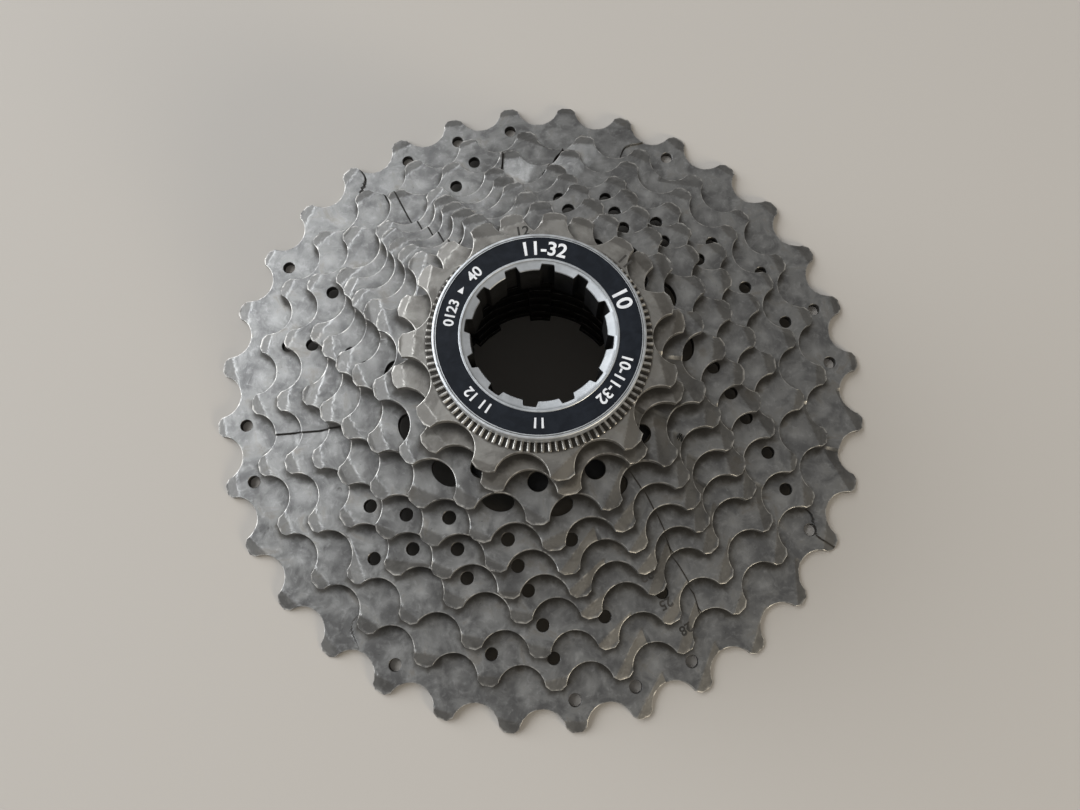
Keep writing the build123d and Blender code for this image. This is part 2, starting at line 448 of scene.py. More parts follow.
# %% Features of each sprocket
clocks = {32: 5.1, 28: 9.8, 25: 7.1, 22: 4.2, 20: 7.7, 18: 11.9, 16: 18.1, 14: 0.5, 12: 18.3, 11: 6.8}
hole_clocks = {32: 4.9, 28: 10.0, 25: 6.5, 22: 3.0, 20: 6.2, 18: 10.0, 16: 16.1, 14: 0.6}
guide_teeth = {
    32: (2, 6, 7, 10, 13, 14, 15, 18, 22, 23, 26, 29, 30, 31),
    28: (4, 5, 8, 13, 14, 21, 26),
    25: (1, 3, 4, 7, 10, 11, 12, 15, 19, 20, 23),
    22: (1, 2, 3, 6, 11, 12, 13, 14, 17),
    20: (0, 1, 2, 5, 10, 11, 12, 15),
    18: (0, 1, 4, 8, 9, 10, 13),
}
guide_radius, guide_inset = 1.2 * mm, 1.28 * mm
oval_teeth = (1, 2, 3, 6, 7, 8, 9, 10, 11, 14, 15)
oval_place, oval_radial, oval_across = 25.5 * mm, 2.0 * mm, 2.9 * mm
window_teeth, window_size, window_inset = (1, 2, 5, 6, 7, 8, 12), 1.75 * mm, 2.68 * mm
arm_count = 12
# The long windows: nearest and farthest from the axis, and width, in millimetres
arm_windows = {32: (28.5, 49.5, 11.0), 28: (28.5, 43.5, 9.0), 25: (28.5, 38.0, 7.0), 22: (28.5, 34.5, 5.0)}
pinned_from = 16              # the fewest teeth of a sprocket that is pinned into the stack
rivet_hole, sunk_hole = 1.35 * mm, 2.32 * mm
rivet_circle, rivet_clock, rivet_count = 21.0 * mm, 117, 3
rivet_angles = [math.radians(90 - rivet_clock + 360 / rivet_count * k) for k in range(rivet_count)]


def tooth_angle(teeth, tooth):
    """Angle of the middle of a tooth, counted clockwise from tooth 0."""
    return math.radians(90 - clocks[teeth] - 360 / teeth * tooth)


def hole_angle(teeth, tooth):
    """Angle of the hole punched below a tooth."""
    return math.radians(90 - hole_clocks[teeth] - 360 / teeth * tooth)


def sprocket_holes(teeth):
    """Every hole of a sprocket: guide holes, windows and, in the pinned ones, the rivets' holes."""
    holes = [
        circle_hole(root_radius(teeth) - guide_inset, hole_angle(teeth, k), guide_radius)
        for k in guide_teeth.get(teeth, ())
    ]
    if teeth == 16:
        for k in oval_teeth:
            angle = hole_angle(teeth, k)
            centre = oval_place * np.array([math.cos(angle), math.sin(angle)])
            holes.append((centre, angle, 0.0, oval_radial, oval_across))
    if teeth == 14:
        holes += [
            circle_hole(root_radius(teeth) - window_inset, hole_angle(teeth, k), window_size)
            for k in window_teeth
        ]
    if teeth in arm_windows:
        inner, outer, width = (size * mm for size in arm_windows[teeth])
        for k in range(arm_count):
            angle = math.pi / 2 + 2 * math.pi / arm_count * k
            centre = (inner + outer) / 2 * np.array([math.cos(angle), math.sin(angle)])
            holes.append((centre, angle, (outer - inner - width) / 2, width / 2, width / 2))
    if teeth >= pinned_from:
        size = sunk_hole if teeth == tooth_counts[0] else rivet_hole
        holes += [circle_hole(rivet_circle, angle, size) for angle in rivet_angles]
    return holes


# %% [markdown]
# ## Teeth and ramps in relief
# Each tooth is bevelled towards its tip, and every tooth a little differently, because
# some teeth lead the chain on and others let it go. A shift ramp begins at a sharp step
# across the plate and fades out round it. Both are depths below the face, worked out
# from the radius and the angle of each point.

# %% Relief
# The third number is how far the bevels' faces are darkened.
bevel_length, bevel_slope, bevel_darkening = 2.1 * mm, 0.38, 0.58
rear_bevel_length, rear_bevel_slope, rear_unevenness = 1.0 * mm, 0.3, 0.3
lean_spread, length_spread = 12.0, 0.22
steepest_lean, deepest_bevel = 45, 0.8 * mm
# Where the bevels lean over, in degrees clockwise from +Y, and by how much
leaning_from, leaning_to, leaning_by = 95, 172, -38
# Ramps of each sprocket: where the step meets the bottoms of the gaps, clockwise from +Y; how
# many degrees the ramp runs on from there, negative the other way; its depth; how many
# degrees the step leans per millimetre outwards; and how far it sweeps in an S
ramps = {
    32: (
        (116, 30, 0.42, 0.0, 2.0), (216.3, 34, 0.45, 0.0, -2.3), (320, 30, 0.4, 0.0, 2.0),
        (20, 26, 0.35, 0.0, 2.0),
    ),
    28: (
        (145.5, -24, 0.4, 0.4, 0.0), (260.0, -26, 0.45, 0.1, 0.0), (322, 24, 0.4, 0.2, 0.0),
        (4.5, 9, 0.8, 0.2, 0.8),
    ),
    25: (
        (144.1, -24, 0.4, 0.15, 0.0), (258.3, -26, 0.45, 0.16, 0.0), (323, 24, 0.4, 0.2, 0.0),
        (349.5, 9, 0.7, 0.2, 0.8), (1.5, 9, 0.8, 0.2, 0.8),
    ),
    22: ((144.1, -22, 0.4, 0.5, 0.0), (256.5, -24, 0.4, 0.15, 0.0), (323, 24, 0.4, 0.2, 0.0)),
    20: ((142.8, -22, 0.38, 0.43, 0.0), (323.5, 22, 0.38, 0.2, 0.0)),
    18: ((142.4, -22, 0.36, 0.4, 0.0), (324, 22, 0.36, 0.2, 0.0)),
    16: ((142.6, -24, 0.34, 0.2, 0.0), (324, 22, 0.34, 0.2, 0.0)),
}
ramp_reach = 6.0 * mm         # how far in from the bottoms of the gaps the ramps run
ramp_fade = 0.4 * mm
step_run = 0.12 * mm          # width of the step that a ramp begins with
sweep_run = 1.2               # millimetres over which a step that is an S turns
draw = np.random.default_rng(11)


def tooth_bevel(teeth, length, slope, uneven):
    """A function of place: how far a face is cut down by the bevel on its tooth's tip.

    On each tooth the bevel is a plane that starts a given length below the tip and leans
    a little to one side, so its depth grows in line with the distance past its start.
    """
    clockwise = (clocks[teeth] + 360 / teeth * np.arange(teeth)) % 360
    side = np.where((clockwise > leaning_from) & (clockwise < leaning_to), leaning_by * uneven, 0.0)
    side = side + draw.normal(0.0, lean_spread * uneven, teeth)
    lean = np.radians(np.clip(side, -steepest_lean, steepest_lean))
    lengths = length * (1.0 + draw.normal(0.0, length_spread * uneven, teeth))

    def sunk(flat):
        turned = math.pi / 2 - np.arctan2(flat[:, 1], flat[:, 0]) - math.radians(clocks[teeth])
        step = 2 * math.pi / teeth
        tooth = np.round(turned / step)
        off = turned - tooth * step
        number = tooth.astype(int) % teeth
        tilt = lean[number]
        radius = np.hypot(flat[:, 0], flat[:, 1])
        out, across = radius * np.cos(off), radius * np.sin(off)
        past = (out - tip_radius(teeth)) * np.cos(tilt) + across * np.sin(tilt) + lengths[number]
        return np.clip(slope * past, 0.0, deepest_bevel)

    return sunk


def step_angle(teeth, ramp, radius):
    """Where a ramp's step lies at these radii, in degrees clockwise from +Y: a line or an S."""
    start, _, _, lean, sweep = ramp
    out = (radius - root_radius(teeth)) / mm
    return start + lean * out + sweep * np.tanh((out + sweep_run) / sweep_run)


def ramp_relief(teeth):
    """Functions of place: how far the shift ramps sink the top face, and how much painted shadow darkens the
    line of their steps.

    A ramp is deepest at its step and rises evenly back to the face. It stays in the outer
    part of the face.
    """
    root = root_radius(teeth)
    step_width = math.degrees(step_run / root)

    def from_step(flat, ramp):
        radius = np.hypot(flat[:, 0], flat[:, 1])
        clockwise = 90 - np.degrees(np.arctan2(flat[:, 1], flat[:, 0]))
        along = ((clockwise - step_angle(teeth, ramp, radius) + 180) % 360 - 180) * np.sign(ramp[1])
        return along, smoothstep(root - ramp_reach, root - ramp_reach + ramp_fade, radius)

    def sunk(flat):
        depth = np.zeros(len(flat))
        for ramp in ramps.get(teeth, ()):
            along, outer_part = from_step(flat, ramp)
            rise = smoothstep(0.0, step_width, along) * (1 - np.clip(along / abs(ramp[1]), 0.0, 1.0))
            depth = np.maximum(depth, ramp[2] * mm * rise * outer_part)
        return depth

    # Painted shadow of each step, in a narrow band along it.
    def soil(flat):
        shadowed = np.zeros(len(flat))
        for ramp in ramps.get(teeth, ()):
            along, outer_part = from_step(flat, ramp)
            beside = 1 - smoothstep(0.6, 2.2, np.abs(along / step_width - 0.8))
            shadowed = np.maximum(shadowed, outer_part * beside)
        return shadowed

    return sunk, soil


def ramp_columns(teeth):
    """Angles at which a sprocket needs more columns, so that its ramps' steps come out crisp."""
    root = root_radius(teeth)
    width = math.degrees(step_run / root)
    radius = np.arange(root - 5.0 * mm, root + 3.5 * mm, 0.1 * mm)
    angles = [np.zeros(0)]
    for ramp in ramps.get(teeth, ()):
        passed = step_angle(teeth, ramp, radius)
        angles.append(np.arange(passed.min() - 2 * width, passed.max() + 3 * width, width))
    return np.radians(90 - np.concatenate(angles))


# %% [markdown]
# ## The collars and the serrated ring
# The two smallest sprockets carry their own spacer: a collar under the plate. The smallest
# also has a raised ring of fine radial serrations that bite the lock ring. The serrations
# are a profile whose crest goes up and down in a wave as it runs round the axis.

# %% Collars and serrations
collar_radii = {12: 20.0 * mm, 11: 18.2 * mm}
serration_count, serration_samples = 100, 12
serration_inner, serration_outer = 16.9 * mm, 18.62 * mm
serration_cut, serration_chamfer, serration_foot = 0.5 * mm, 0.12 * mm, 0.3 * mm
wave_steepness, wave_flat = 6.0, 0.9
plate_low, plate_high = span("sprocket_32t")
thickness = plate_high[2] - plate_low[2]
spacing = levels[tooth_counts[1]] - levels[tooth_counts[0]]


def collar(teeth):
    """The spacer under a small sprocket: a ring from the bore to its outer radius, chamfered below."""
    low = span(f"sprocket_{teeth}t")[0][2]
    high = low + spacing - thickness
    outer, inner, cut = collar_radii[teeth], groove_radius, 0.15 * mm
    profile = [(inner, low), (outer - cut, low), (outer, low + cut), (outer, high), (inner, high)]
    return turned_ring(profile, 240)


def serrated_ring(low, high):
    """A raised ring whose top is cut by radial grooves.

    The height of its crest is the full height less the cut times a triangle wave of the
    angle, clipped flat on the crests and in the grooves, and its top edges are chamfered.
    """
    columns = serration_count * serration_samples
    angle = np.linspace(0.0, 2 * math.pi, columns, endpoint=False)
    phase = (np.arange(columns) % serration_samples) / serration_samples
    wave = np.clip(np.abs(phase - 0.5) * wave_steepness - wave_flat, 0.0, 1.0)
    crest = high - serration_cut * wave
    foot = np.full(columns, low)
    rows = [
        (serration_inner, foot),
        (serration_outer, foot),
        (serration_outer, crest - serration_chamfer),
        (serration_outer - serration_chamfer, crest),
        (serration_inner + serration_chamfer, crest),
        (serration_inner, crest),
    ]
    points = [np.column_stack([r * np.cos(angle), r * np.sin(angle), z]) for r, z in rows]
    # The first list paints highlights on the crests; the second paints shade in the grooves and at the foot.
    edge = [np.zeros(columns)] * 2 + [0.9 * (1 - wave)] * 4
    soil = [np.full(columns, 0.9)] * 2 + [0.95 * wave] * 4
    faces = ring_quads(len(rows), columns)
    return np.concatenate(points), faces, np.concatenate(edge), np.concatenate(soil)


# %% Sprocket pieces
calm_depth = 3.6 * mm         # below the bottoms of the gaps the outline has blended into a circle
bevel_line = 0.06 * mm        # depth from which a bevel is darkened


def next_measures(teeth):
    """Pitch radius, tooth step and gap angle of the sprocket above, which shelters this one."""
    place = tooth_counts.index(teeth) + 1
    if place == len(tooth_counts):
        return {"next_pitch": -1.0, "next_step": 1.0, "next_turn": 0.0}
    above = tooth_counts[place]
    step = 2 * math.pi / above
    turn = tooth_angle(above, 0) + step / 2
    return {"next_pitch": pitch_radius(above), "next_step": step, "next_turn": turn}


bodies = frame["record"]["behaviour"]["bodies"]
body_of_node = {node: body for body, nodes in bodies.items() for node in nodes}
sprockets = {}
for teeth in tooth_counts:
    node = f"sprocket_{teeth}t"
    top = span(node)[1][2]
    shells = []
    if teeth in collar_radii:
        shells.append(collar(teeth))
    if teeth == 11:
        land_top = top
        top = levels[32] + spacing * (len(tooth_counts) - 1) + thickness
        shells.append(serrated_ring(top - serration_foot, land_top))
    calm_radius = max(root_radius(teeth) - calm_depth, groove_radius + 0.5 * mm)
    outline = with_columns_at(sprocket_outline(teeth, clocks[teeth]), ramp_columns(teeth))
    grid = flat_grid(outline, calm_radius)
    bevel = tooth_bevel(teeth, bevel_length, bevel_slope, 1.0)
    rear_bevel = tooth_bevel(teeth, rear_bevel_length, rear_bevel_slope, rear_unevenness)
    ramp, ramp_shadow = ramp_relief(teeth)

    # Painted shadow darkens the top face along the ramps' steps and at the foot of the serrated ring, and
    # the bevels are darkened too.
    def face_soil(flat):
        found = np.maximum(ramp_shadow(flat), bevel_darkening * smoothstep(0.0, bevel_line, bevel(flat)))
        if teeth == 11:
            past = np.hypot(flat[:, 0], flat[:, 1]) - serration_outer
            found = np.maximum(found, 1 - smoothstep(0.0, 0.15 * mm, past))
        return found

    piece = plate(
        node + "_plate",
        grid,
        top - thickness,
        top,
        sprocket_holes(teeth),
        sunk_top=lambda flat: bevel(flat) + ramp(flat),
        sunk_bottom=rear_bevel,
        shells=shells,
        measures=next_measures(teeth),
        soil=face_soil,
    )
    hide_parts(node)
    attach(piece, body_of_node[node])
    sprockets[teeth] = piece

# %% [markdown]
# ## Spacers, rivets and washer
# Between the pinned sprockets sit resin rings, moulded with the same keys as the bore. They
# are plates too, with a plain round outline. The rivets are a turned profile that closes
# at both ends of the axis, so each end is a single point that a fan of faces meets.

# %% Spacers
spacer_outer = 23.3 * mm
spacer_looseness = 0.2 * mm
spacer_calm, spacer_fine, spacer_coarse = 0.9 * mm, 10, 3
circle_samples = 540
around = np.linspace(0.0, 2 * math.pi, circle_samples, endpoint=False)
head_clearance = 2.4 * mm
spacers = []


def notched_radius(angle):
    """Outer radius of the loose spacer.

    It is the near side of a rivet head's clearance circle where one lies, and else full.
    """
    radius = np.full(len(angle), spacer_outer)
    for rivet_angle in rivet_angles:
        off = (angle - rivet_angle + math.pi) % (2 * math.pi) - math.pi
        inside = head_clearance**2 - (rivet_circle * np.sin(off)) ** 2
        near = rivet_circle * np.cos(off) - np.sqrt(np.maximum(inside, 0.0))
        radius = np.where((inside > 0) & (np.cos(off) > 0), near, radius)
    return radius


for node in sorted(n for n in frame["nodes"] if n.startswith("spacer_")):
    low, high = span(node)
    loose = node == "spacer_16_14"
    reach = notched_radius(around) if loose else np.full(circle_samples, spacer_outer)
    outline = reach[:, None] * np.stack([np.cos(around), np.sin(around)], axis=1)
    calm_radius = groove_radius + spacer_calm
    grid = flat_grid(outline, calm_radius, spacer_looseness, fine=spacer_fine, coarse=spacer_coarse)
    holes = [] if loose else [circle_hole(rivet_circle, angle, rivet_hole) for angle in rivet_angles]
    piece = plate(node + "_ring", grid, low[2], high[2], holes)
    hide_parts(node)
    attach(piece, body_of_node[node])
    spacers.append(piece)

# %% Rivets
rivet_radius, rivet_head, rivet_sunk = 1.3 * mm, 2.1 * mm, 2.3 * mm
rivet_head_height, rivet_sunk_depth = 0.7 * mm, 0.9 * mm
dome_rows, dome_fullness = 6, 0.6
rivets = []


def turned_solid(name, profile, centre, samples=48):
    """A solid turned from an open (radius, height) profile that starts and ends on its own axis.

    The two ends are fans of four-sided faces folded onto the end points.
    """
    profile = np.asarray(profile, dtype=float)
    angle = np.linspace(0.0, 2 * math.pi, samples, endpoint=False)
    radius, height = profile[1:-1, 0, None], profile[1:-1, 1, None]
    height = np.broadcast_to(height, (len(height), samples))
    ring = np.stack(
        [centre[0] + radius * np.cos(angle), centre[1] + radius * np.sin(angle), height], axis=-1
    ).reshape(-1, 3)
    ends = np.array([[*centre, profile[0, 1]], [*centre, profile[-1, 1]]])
    ids = np.arange(len(ring)).reshape(-1, samples)
    even, odd, following = ids[:, ::2], ids[:, 1::2], np.roll(ids, -1, axis=1)[:, 1::2]
    first, last = np.full(samples // 2, len(ring)), np.full(samples // 2, len(ring) + 1)
    low_fan = np.stack([first, following[0], odd[0], even[0]], axis=-1)
    high_fan = np.stack([last, even[-1], odd[-1], following[-1]], axis=-1)
    points, faces = np.vstack([ring, ends]), np.vstack([low_fan, high_fan, strip(ids[::-1])])
    return make_mesh(name, points, faces, measures={"edge": np.full(len(points), turned_edge)})


for number, angle in enumerate(rivet_angles):
    node = f"rivet_{number + 1}"
    low, high = span(node)
    shoulder = high[2] - rivet_head_height
    profile = [
        (0.0, low[2]),
        (rivet_sunk, low[2]),
        (rivet_radius, low[2] + rivet_sunk_depth),
        (rivet_radius, shoulder),
        (rivet_head, shoulder),
    ]
    for rise in np.linspace(0.0, math.pi / 2, dome_rows)[1:-1]:
        out = rivet_head * math.cos(rise) ** dome_fullness
        profile.append((out, shoulder + rivet_head_height * math.sin(rise)))
    profile.append((0.0, high[2]))
    centre = (low[:2] + high[:2]) / 2
    piece = turned_solid(node + "_turned", profile, centre)
    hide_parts(node)
    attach(piece, body_of_node[node])
    rivets.append(piece)

# %% Washer
low, high = span("lock_washer")
washer_inner, washer_outer = 15.45 * mm, high[0]
cut = 0.06 * mm
points, faces, edge, soil = turned_ring(
    [
        (washer_inner + cut, low[2]),
        (washer_outer - cut, low[2]),
        (washer_outer, low[2] + cut),
        (washer_outer, high[2] - cut),
        (washer_outer - cut, high[2]),
        (washer_inner + cut, high[2]),
        (washer_inner, high[2] - cut),
        (washer_inner, low[2] + cut),
    ],
    240,
)
washer = make_mesh("lock_washer_ring", points, faces, measures={"edge": edge, "soil": soil})
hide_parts("lock_washer")
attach(washer, body_of_node["lock_washer"])

# %% [markdown]
# ## The lock ring
# The ring is one closed profile carried round the axis. Its outer side has a real thread:
# the radius is a triangle wave of height over pitch less the turn round the axis, so the
# crest climbs in a helix. Its inner side follows the twelve notches for the tool.

# %% Lock ring
ring_low, ring_high = span("lock_ring")
ring_outer, ring_top, ring_foot = ring_high[0], ring_high[2], ring_low[2]
flange_thickness = 3.1 * mm
flange_base = ring_top - flange_thickness
thread_radius, thread_pitch, thread_depth = 15.3 * mm, 25.4 / 24 * mm, 0.6 * mm
thread_lead, thread_rows = 0.7 * mm, 56
band_outer, band_inner, band_depth = 16.5 * mm, 12.55 * mm, 0.1 * mm
land_radius, notch_radius, notch_width, notch_count, notch_clock = 11.0 * mm, 12.0 * mm, 2.3 * mm, 12, 7
land_drop, rim_round, groove_depth = 0.3 * mm, 0.25 * mm, 0.08 * mm
ring_columns = 720


def socket_radius(angle):
    """Radius of the tool socket.

    It is the notch radius within half a notch's width of a notch's middle, and falls to the
    land's radius over a short S.
    """
    step = 2 * math.pi / notch_count
    off = (math.radians(90 - notch_clock) - angle + step / 2) % step - step / 2
    past = np.abs(off) * notch_radius - notch_width / 2
    return notch_radius + (land_radius - notch_radius) * smoothstep(-0.15 * mm, 0.25 * mm, past)


def lock_ring_rows():
    """Rows of (radius, height, edge, soil) round the ring's profile, each an array over the angle.

    They run from the foot up the thread, out round the flange, in over the band and the
    land, and down the wall of the socket.
    """
    angle = np.linspace(0.0, 2 * math.pi, ring_columns, endpoint=False)
    one = np.ones(ring_columns)
    socket = socket_radius(angle)
    rows = []

    def row(radius, height, worn_and_glint=0.0, soil=0.0):
        rows.append((radius * one, height * one, worn_and_glint * one, soil * one))

    # The third number of each row paints highlights on the rim and its rounds; the fourth darkens the
    # thread, the flange's underside and the small grooves, and paints shade down the socket.
    row(socket + 0.25 * mm, ring_foot, 0.0, 1.0)
    row(thread_radius - thread_lead, ring_foot, 0.0, 1.0)
    for height in np.linspace(ring_foot + 0.05 * mm, flange_base - 0.3 * mm, thread_rows):
        turn = (height / thread_pitch - angle / (2 * math.pi)) % 1.0
        groove = thread_depth * np.clip(1.15 - np.abs(turn - 0.5) * 2.6, 0.0, 1.0)
        lead = np.maximum(thread_lead - (height - ring_foot), 0.0)
        row(thread_radius - np.maximum(groove, lead), height, 0.2, 0.5)
    row(thread_radius - 0.5 * mm, flange_base - 0.1 * mm, 0.0, 0.8)
    row(thread_radius - 0.5 * mm, flange_base, 0.0, 0.8)
    row(ring_outer - 0.25 * mm, flange_base, 0.2, 0.7)
    row(ring_outer, flange_base + 0.25 * mm, 0.8)
    row(ring_outer, ring_top - rim_round, 0.6)
    for turn in np.linspace(0.0, math.pi / 2, 5)[1:]:
        rim_height = ring_top - rim_round * (1 - math.sin(turn))
        row(ring_outer - rim_round * (1 - math.cos(turn)), rim_height, 0.9)
    row(band_outer + 0.28 * mm, ring_top, 0.3)
    row(band_outer + 0.24 * mm, ring_top - groove_depth, 0.0, 0.9)
    row(band_outer + 0.17 * mm, ring_top - groove_depth, 0.0, 0.9)
    row(band_outer + 0.13 * mm, ring_top, 0.7)
    row(band_outer, ring_top, 0.2)
    row(band_outer - 0.05 * mm, ring_top - band_depth)
    row((band_outer + band_inner) / 2, ring_top - band_depth)
    row(band_inner + 0.35 * mm, ring_top - band_depth)
    row(band_inner + 0.28 * mm, ring_top - groove_depth / 2, 0.6)
    row(band_inner, ring_top - groove_depth / 2, 0.4)
    land_top = ring_top - 2 * groove_depth
    row(band_inner - 0.08 * mm, land_top, 0.0, 0.5)
    for part in (0.3, 0.7, 0.93):
        radius = band_inner + (socket - band_inner) * part
        fall = (band_inner - radius) / (band_inner - land_radius)
        row(radius, land_top - fall * land_drop, 0.1)
    row(socket, land_top - land_drop - 0.15 * mm, 0.7)
    row(socket, land_top - land_drop - 0.5 * mm, 0.0, 0.8)
    row(socket, ring_foot + 0.25 * mm, 0.0, 1.0)
    return angle, rows


angle, rows = lock_ring_rows()
radii, heights, edge, soil = np.stack(rows, axis=1)
points = np.stack([radii * np.cos(angle), radii * np.sin(angle), heights], axis=-1).reshape(-1, 3)
ring_faces = ring_quads(len(rows), ring_columns)
lock_ring = make_mesh("lock_ring_body", points, ring_faces, measures={"edge": edge, "soil": soil})
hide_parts("lock_ring")
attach(lock_ring, body_of_node["lock_ring"])

# %% [markdown]
# ## Marks on the lock ring
# The dark band carries printed white marks. Ours are only numbers and one arrow, as on a
# dial. A number is a text turned into a mesh, the arrow is a thin triangle, and each is bent
# round the ring as a thin closed solid that lies on the band.

# %% Printed marks
mark_height = 0.012 * mm
weld_distance = 0.001 * mm
stroke_extra = 0.022          # how much bolder than the font, as a share of the letter height
arrow_size, arrow_clock, arrow_fullness = 0.8 * mm, 300, 0.62


def text_points(characters, size):
    """Points and faces of flat text of this letter height, a hair thick and centred on itself."""
    curve = bpy.data.curves.new("mark", "FONT")
    curve.body = characters
    curve.size = size
    curve.extrude = mark_height
    curve.offset = size * stroke_extra
    curve.align_x, curve.align_y = "CENTER", "CENTER"
    holder = bpy.data.objects.new("mark", curve)
    mesh = bpy.data.meshes.new_from_object(holder)
    points = np.zeros(len(mesh.vertices) * 3)
    mesh.vertices.foreach_get("co", points)
    _, first, joined = np.unique(
        np.round(points.reshape(-1, 3) / weld_distance), axis=0, return_index=True, return_inverse=True
    )
    points, joined = points.reshape(-1, 3)[first], joined.ravel()
    faces = [tuple(joined[list(polygon.vertices)].tolist()) for polygon in mesh.polygons]
    faces = [face for face in faces if len(set(face)) == len(face)]
    bpy.data.objects.remove(holder)
    bpy.data.curves.remove(curve)
    bpy.data.meshes.remove(mesh)
    return points, faces


def arrow_points(size):
    """Points and faces of a thin triangle that points along +X."""
    half_base = size * arrow_fullness
    corner = np.array([(size, 0.0), (-size / 2, half_base), (-size / 2, -half_base)])
    low = np.column_stack([corner, np.full(3, -mark_height)])
    high = np.column_stack([corner, np.full(3, mark_height)])
    faces = [(0, 2, 1), (3, 4, 5), (0, 1, 4, 3), (1, 2, 5, 4), (2, 0, 3, 5)]
    return np.vstack([low, high]), faces


def bend_on(points, radius, clock, height):
    """Bends flat marks round the axis: x becomes an angle, clockwise, and y a radius."""
    angle = math.radians(90 - clock) - points[:, 0] / radius
    reach = radius + points[:, 1]
    return np.column_stack([reach * np.cos(angle), reach * np.sin(angle), points[:, 2] + height])


def join_marks(name, marks):
    """One mesh from a list of (points, faces)."""
    points, faces, used = [], [], 0
    for mark, corners in marks:
        points.append(mark)
        faces += [tuple(c + used for c in corner) for corner in corners]
        used += len(mark)
    mesh = bpy.data.meshes.new(name)
    mesh.from_pydata(np.vstack(points).tolist(), [], faces)
    mesh.update()
    print(f"{name}: {used} points, {len(faces)} faces")
    return add_object(name, mesh)


band_height = ring_top - band_depth + mark_height
middle = (band_outer + band_inner) / 2
marks = []
for characters, clock, size in (
    ("11-32", 3, 3.3 * mm),
    ("10", 66, 3.6 * mm),
    ("10-11-32", 122, 2.5 * mm),
    ("11", 180, 2.3 * mm),
    ("11 12", 221, 2.3 * mm),
    ("0123", 284, 2.3 * mm),
    ("40", 314, 2.5 * mm),
):
    points, faces = text_points(characters, size)
    marks.append((bend_on(points, middle, clock, band_height), faces))
points, faces = arrow_points(arrow_size)
marks.append((bend_on(points, middle, arrow_clock, band_height), faces))
ring_marks = join_marks("lock_ring_marks", marks)
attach(ring_marks, body_of_node["lock_ring"])

# %% Stamped numbers
stamp_height = 2.5 * mm
stamps = []
# Clock angle and radius, in millimetres, of the number stamped on each of these sprockets
stamp_places = {11: (46, 19.9), 12: (352, 21.3), 25: (151, 47.6), 22: (152.5, 41.5), 28: (149.5, 53.6)}
for teeth, (clock, radius) in stamp_places.items():
    points, faces = text_points(str(teeth), stamp_height)
    height = levels[11] + spacing if teeth == 11 else span(f"sprocket_{teeth}t")[0][2] + thickness
    if teeth in collar_radii:
        height = levels[32] + spacing * tooth_counts.index(teeth) + thickness
    piece = join_marks(f"stamp_{teeth}", [(bend_on(points, radius * mm, clock, height), faces)])
    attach(piece, body_of_node[f"sprocket_{teeth}t"])
    stamps.append(piece)

# %% [markdown]
# ## Finishes
# A used cassette is all one kind of steel, yet no two patches look alike. Three effects
# are shared as node groups: a mottle of oil and wear, fine streaks that run round the
# axis, and the bright edges, bared by wear and with painted glints, which read the edge measure
# stored on each mesh.

# %% Node helpers


def node_group(name, inputs, outputs):
    """A new shader group with float inputs (name, default) and float outputs (name).

    Gives the group and its two end nodes.
    """
    group = bpy.data.node_groups.new(name, "ShaderNodeTree")
    for label, value in inputs:
        socket = group.interface.new_socket(name=label, in_out="INPUT", socket_type="NodeSocketFloat")
        socket.default_value = value
    for label in outputs:
        group.interface.new_socket(name=label, in_out="OUTPUT", socket_type="NodeSocketFloat")
    return group, group.nodes.new("NodeGroupInput"), group.nodes.new("NodeGroupOutput")


def shader_node(tree, kind, **settings):
    """A node of this kind. A setting named for an input sets that; any other sets the node."""
    made = tree.nodes.new("ShaderNode" + kind)
    for label, value in settings.items():
        socket = label.replace("_", " ")
        if socket in made.inputs:
            made.inputs[socket].default_value = value
        else:
            setattr(made, label, value)
    return made


def maths(tree, operation, first, second=None):
    """A maths node on two values, each a socket or a number; gives its output."""
    made = tree.nodes.new("ShaderNodeMath")
    made.operation = operation
    for socket, value in zip(made.inputs, (first, second)):
        if isinstance(value, (int, float)):
            socket.default_value = value
        elif value is not None:
            tree.links.new(value, socket)
    return made.outputs[0]


def ramp_between(tree, value, low, high):
    """0 below low, 1 above high and a smooth S between, from a socket."""
    made = shader_node(tree, "MapRange", From_Min=low, From_Max=high, interpolation_type="SMOOTHSTEP")
    tree.links.new(value, made.inputs["Value"])
    return made.outputs["Result"]


def share_of(tree, value, low, high, share):
    """0 below low and this share above high, from a socket."""
    return maths(tree, "MULTIPLY", ramp_between(tree, value, low, high), share)


def distance(tree, along, across):
    """The length of two sides of a right angle: the root of the sum of their squares."""
    squares = [maths(tree, "MULTIPLY", side, side) for side in (along, across)]
    return maths(tree, "SQRT", maths(tree, "ADD", *squares))


def mix_colour(tree, factor, first, second):
    """A colour between two, each a socket or a value."""
    made = tree.nodes.new("ShaderNodeMix")
    made.data_type = "RGBA"
    for index, value in ((0, factor), (6, first), (7, second)):
        if hasattr(value, "is_output"):
            tree.links.new(value, made.inputs[index])
        elif index:
            made.inputs[index].default_value = (*value, 1.0)
        else:
            made.inputs[index].default_value = value
    return made.outputs[2]


# %% Mottle group
mottle, group_in, group_out = node_group(
    "mottle",
    [("Patch size", 0.004), ("Speck size", 0.0009)],
    ["Patches", "Specks", "Grain"],
)
place = shader_node(mottle, "TexCoord")
for size, detail, rough, twist, label in (
    ("Patch size", 5.0, 0.62, 0.7, "Patches"),
    ("Speck size", 4.0, 0.6, 0.5, "Specks"),
):
    noise = shader_node(mottle, "TexNoise", Detail=detail, Roughness=rough, Distortion=twist)
    mottle.links.new(place.outputs["Object"], noise.inputs["Vector"])
    mottle.links.new(maths(mottle, "DIVIDE", 1.0, group_in.outputs[size]), noise.inputs["Scale"])
    mottle.links.new(noise.outputs["Fac"], group_out.inputs[label])
grain = shader_node(mottle, "TexNoise", Scale=7000.0, Detail=2.0)
mottle.links.new(place.outputs["Object"], grain.inputs["Vector"])
mottle.links.new(grain.outputs["Fac"], group_out.inputs["Grain"])

